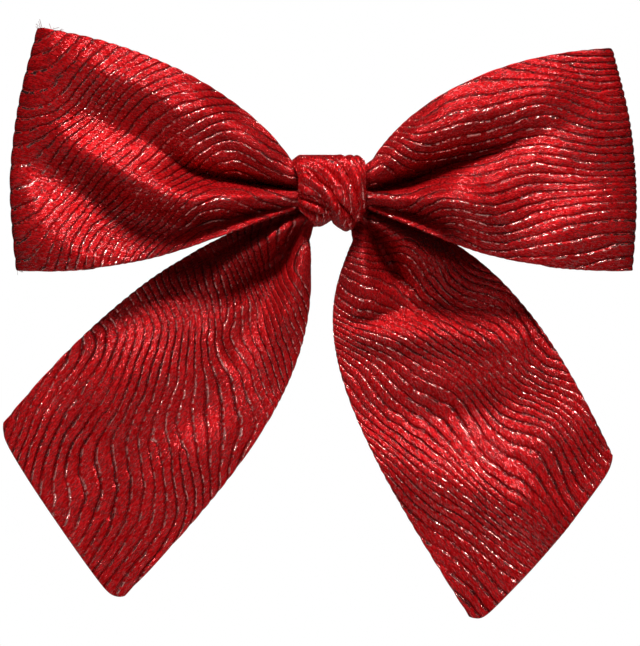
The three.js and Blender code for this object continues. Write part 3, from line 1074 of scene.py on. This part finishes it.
def thread_tube(path, thick):
    """Points and faces of a closed thin tube along a path."""
    along = np.gradient(path, axis=0)
    along /= np.linalg.norm(along, axis=1, keepdims=True)
    first = np.cross(along, (0.3, 0.9, 0.2))
    first /= np.linalg.norm(first, axis=1, keepdims=True)
    second = np.cross(along, first)
    turn = np.linspace(0, 2 * np.pi, THREAD_SIDES, endpoint=False)
    ring = np.cos(turn)[:, None] * first[:, None] + np.sin(turn)[:, None] * second[:, None]
    points = (path[:, None] + 0.5 * thick * ring).reshape(-1, 3)
    index = np.arange(len(points)).reshape(-1, THREAD_SIDES)
    beside = np.roll(index, -1, axis=1)
    walls = np.stack([index[:-1], beside[:-1], beside[1:], index[1:]], -1).reshape(-1, 4)
    return points, walls.tolist() + [index[0, ::-1].tolist(), index[-1].tolist()]


def frayed_threads(name, corners):
    """One mesh of loose threads. corners holds place, outward direction, count and longest length."""
    chance = np.random.default_rng(5)
    points, faces = [], []
    for place, direction, count, longest in corners:
        for _ in range(count):
            start = np.array(place) + chance.normal(0, 0.7, 3)
            heading = np.array(direction) + chance.normal(0, 0.5, 3)
            heading /= np.linalg.norm(heading)
            curl = chance.normal(0, 0.7, 3)
            t = np.linspace(0, 1, 7)[:, None]
            path = start + longest * chance.uniform(0.4, 1) * (heading * t + curl * t**2 * 0.6)
            tube, walls = thread_tube(path, chance.uniform(0.1, 0.2))
            faces += [[index + len(points) for index in face] for face in walls]
            points += (tube * MM).tolist()
    mesh = bpy.data.meshes.new(name)
    mesh.from_pydata(points, [], faces)
    piece = bpy.data.objects.new(name, mesh)
    bpy.context.collection.objects.link(piece)
    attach(piece, "left_loop")
    print(name, len(mesh.polygons), "faces")
    return piece


loop_top, loop_bottom = in_box("left_loop", [(0.135, 0.99), (0.055, 0.01)])
fold_y = WAIST_Y + FOLD_SETBACK
threads = frayed_threads(
    "frayed_threads",
    [
        ((loop_top[0], fold_y, loop_top[1]), (-0.3, -0.1, 1), 12, 3.2),
        ((loop_top[0] + 4, fold_y - 1, loop_top[1] - 1), (0.7, -0.1, 0.7), 8, 4.0),
        ((loop_bottom[0], fold_y, loop_bottom[1]), (0.1, -0.1, -1), 5, 2.0),
    ],
)

# %% [markdown]
# ## Finishes of the small pieces
#
# The loose threads are plain dark red. The binding wire is drawn steel with fine marks on it. The foil
# is a gold-coloured film, which creases in small flat facets, so its bump comes from cells.

# %% Finishes of the small pieces


def thread_material():
    """Dull red thread."""
    material, tree, shader = new_material("loose_thread")
    place = tree.nodes.new("ShaderNodeTexCoord").outputs["Object"]
    cloud = tree.nodes.new("ShaderNodeTexNoise")
    cloud.inputs["Scale"].default_value = 900.0
    put(tree, cloud.inputs["Vector"], place)
    dark, light = (0.09, 0.01, 0.012, 1), (0.3, 0.03, 0.03, 1)
    put(tree, shader.inputs["Base Color"], blend_colors(tree, cloud.outputs["Fac"], dark, light))
    shader.inputs["Roughness"].default_value = 0.6
    return material


def wire_material():
    """Drawn steel with fine marks."""
    material, tree, shader = new_material("drawn_steel")
    place = tree.nodes.new("ShaderNodeTexCoord").outputs["Object"]
    lines = tree.nodes.new("ShaderNodeTexNoise")
    lines.inputs["Scale"].default_value = 700.0
    lines.inputs["Detail"].default_value = 4.0
    put(tree, lines.inputs["Vector"], place)
    dark, light = (0.32, 0.32, 0.33, 1), (0.55, 0.55, 0.56, 1)
    put(tree, shader.inputs["Base Color"], blend_colors(tree, lines.outputs["Fac"], dark, light))
    rough = calc(tree, "ADD", 0.25, calc(tree, "MULTIPLY", lines.outputs["Fac"], 0.2))
    put(tree, shader.inputs["Roughness"], rough)
    put(tree, shader.inputs["Normal"], bump(tree, lines.outputs["Fac"], 0.00003))
    shader.inputs["Metallic"].default_value = 1.0
    return material


def foil_material():
    """Creased gold-coloured film, worn in patches."""
    material, tree, shader = new_material("gold_film")
    place = tree.nodes.new("ShaderNodeTexCoord").outputs["Object"]
    facets = tree.nodes.new("ShaderNodeTexVoronoi")
    facets.inputs["Scale"].default_value = 650.0
    put(tree, facets.inputs["Vector"], place)
    cloud = tree.nodes.new("ShaderNodeTexNoise")
    cloud.inputs["Scale"].default_value = 220.0
    put(tree, cloud.inputs["Vector"], place)
    worn = soft_range(tree, cloud.outputs["Fac"], 0.45, 0.75)
    bright, dull = (0.83, 0.58, 0.2, 1), (0.62, 0.4, 0.13, 1)
    put(tree, shader.inputs["Base Color"], blend_colors(tree, worn, bright, dull))
    put(tree, shader.inputs["Roughness"], calc(tree, "ADD", 0.18, calc(tree, "MULTIPLY", worn, 0.25)))
    put(tree, shader.inputs["Normal"], bump(tree, facets.outputs["Distance"], 0.00012))
    shader.inputs["Metallic"].default_value = 0.95
    return material


threads.data.materials.append(thread_material())
foil = foil_material()
for piece in (bridge, left_leg, right_leg):
    piece.data.materials.append(foil)
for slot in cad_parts["binding_wire"].material_slots:
    slot.material = wire_material()


def bundle_material():
    """The ribbon's thread, seen end on and packed tight."""
    material, tree, shader = new_material("bunched_ribbon")
    place = tree.nodes.new("ShaderNodeTexCoord").outputs["Object"]
    stretch = tree.nodes.new("ShaderNodeMapping")
    stretch.inputs["Scale"].default_value = (150, 1100, 1100)
    put(tree, stretch.inputs["Vector"], place)
    strands = tree.nodes.new("ShaderNodeTexNoise")
    strands.inputs["Scale"].default_value = 1.0
    put(tree, strands.inputs["Vector"], stretch.outputs["Vector"])
    put(tree, shader.inputs["Base Color"], blend_colors(tree, strands.outputs["Fac"], RED_CREASE, RED_FLAT))
    put(tree, shader.inputs["Normal"], bump(tree, strands.outputs["Fac"], 0.00015))
    shader.inputs["Roughness"].default_value = 0.5
    shader.inputs["Metallic"].default_value = 0.3
    return material


waist.data.materials.append(bundle_material())

# %% [markdown]
# ## The petals' places
#
# Each petal's place, turn and scale go into its mesh. The flat sizes are estimates. The knot's is only
# the strip as modelled, and a real strip with its pleats opened out is probably wider.

# %% Bodies
for piece, body, start, end in (
    (left_loop, "left_loop", (-11, 2), (-42, 8)),
    (right_loop, "right_loop", (11, 2), (42, 8)),
    (left_tail, "left_tail", (-12, -11), (-28, -42)),
    (right_tail, "right_tail", (12, -11), (24, -42)),
):
    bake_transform(piece)
